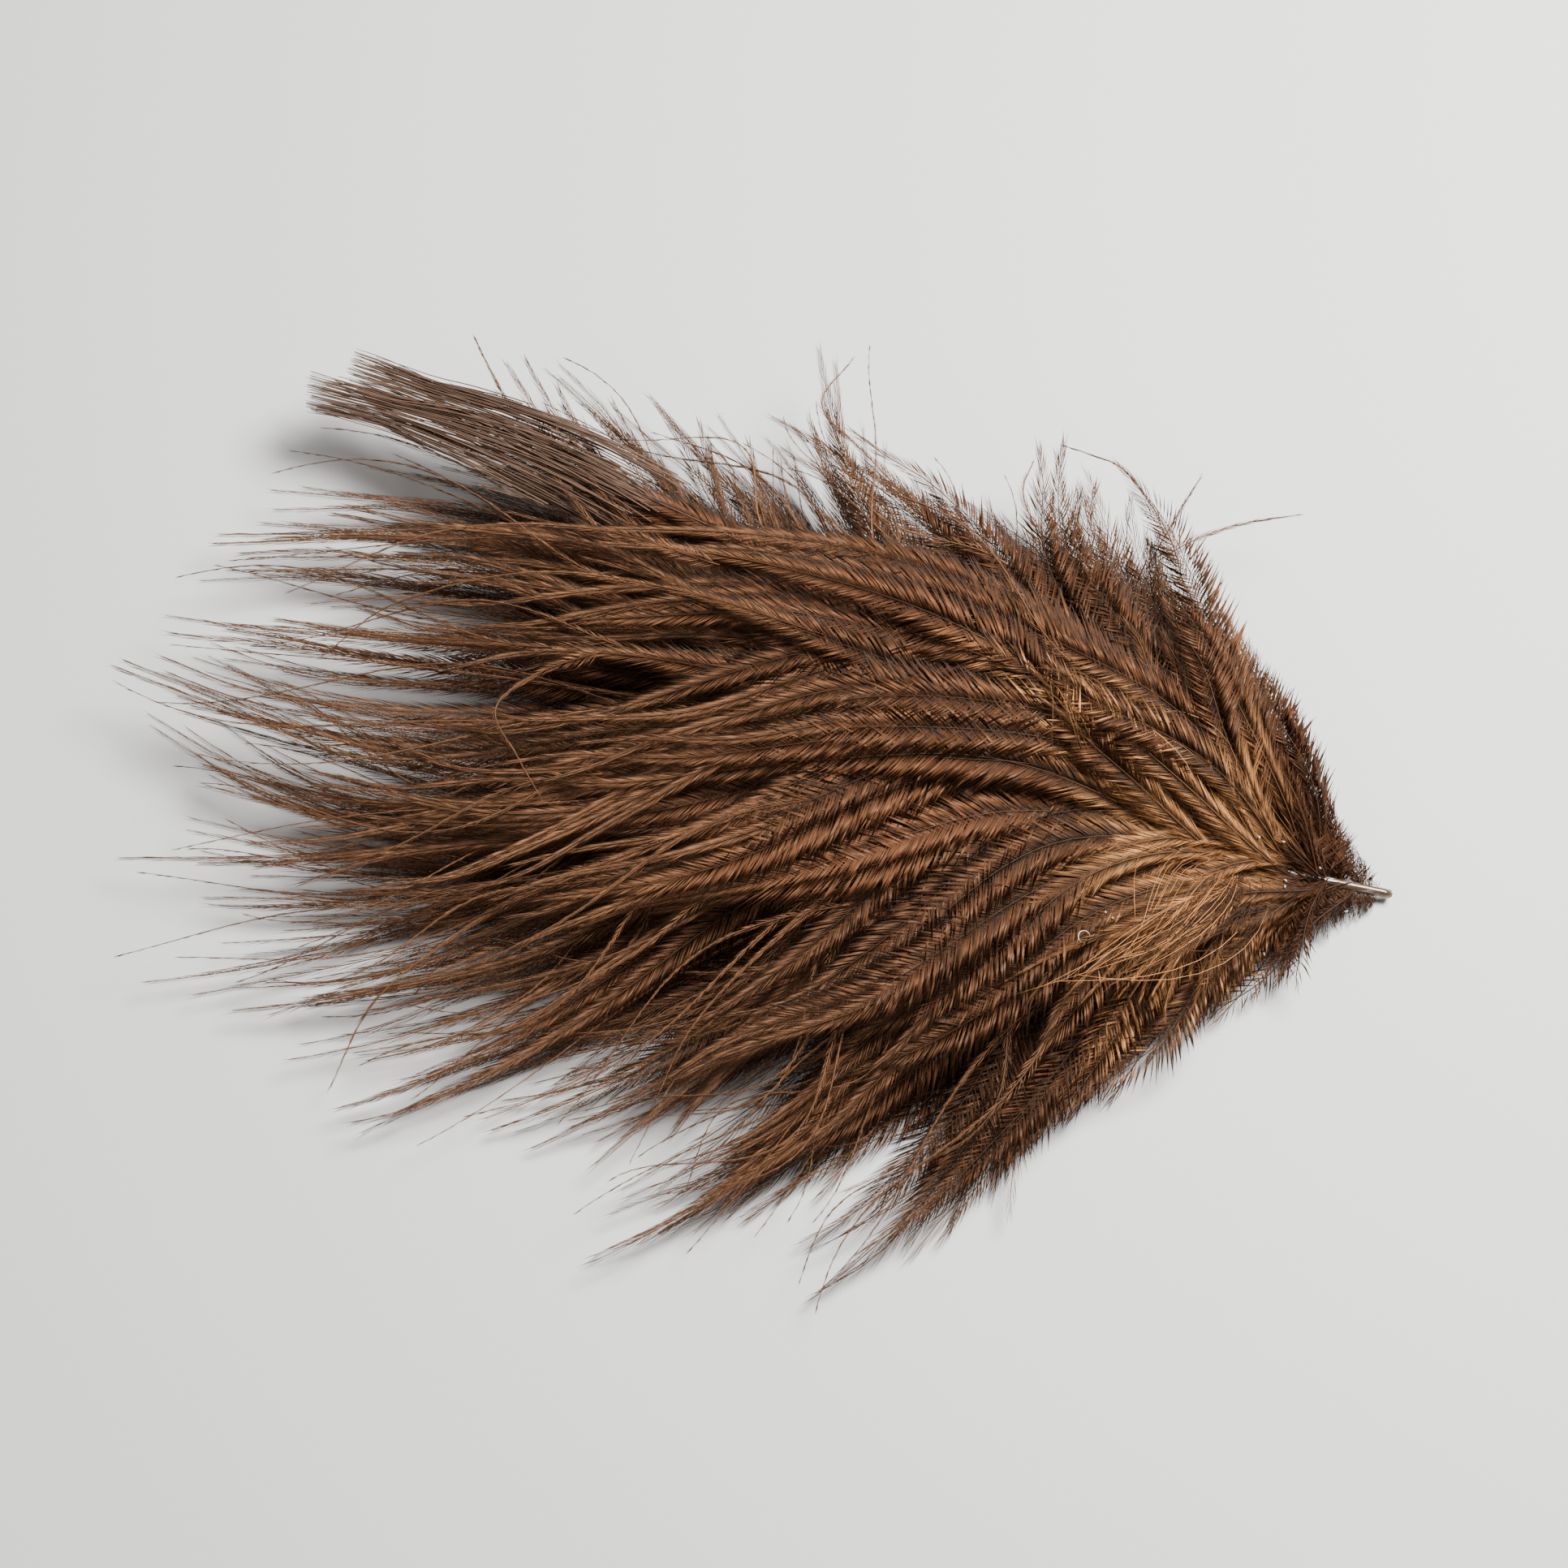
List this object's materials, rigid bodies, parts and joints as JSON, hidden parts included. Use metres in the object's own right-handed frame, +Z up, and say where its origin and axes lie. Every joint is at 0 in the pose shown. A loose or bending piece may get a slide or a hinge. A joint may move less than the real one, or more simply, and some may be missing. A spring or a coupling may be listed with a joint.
{
  "type": "marabou feather",
  "caption": "Loose brown marabou feather lying on its underside: a short pale quill and long soft locks of fluffy down sweeping back from it.",
  "frame": {"origin": "on the surface that the feather lies on, under the middle of its outline", "axes": "+X from the tips of the down towards the cut end of the quill, +Z up, +Y towards the side of the feather that lies further from the camera"},
  "size_m": [0.1001, 0.081, 0.0136],
  "materials": {
    "down": "matte soft brown down with a faint silky sheen, dark brown barb shafts, grey-brown upper fringe, orange-brown depths and tan tips; horn-pale quill"
  },
  "bodies": {
    "root": {"feather": "down"}
  },
  "joints": []
}
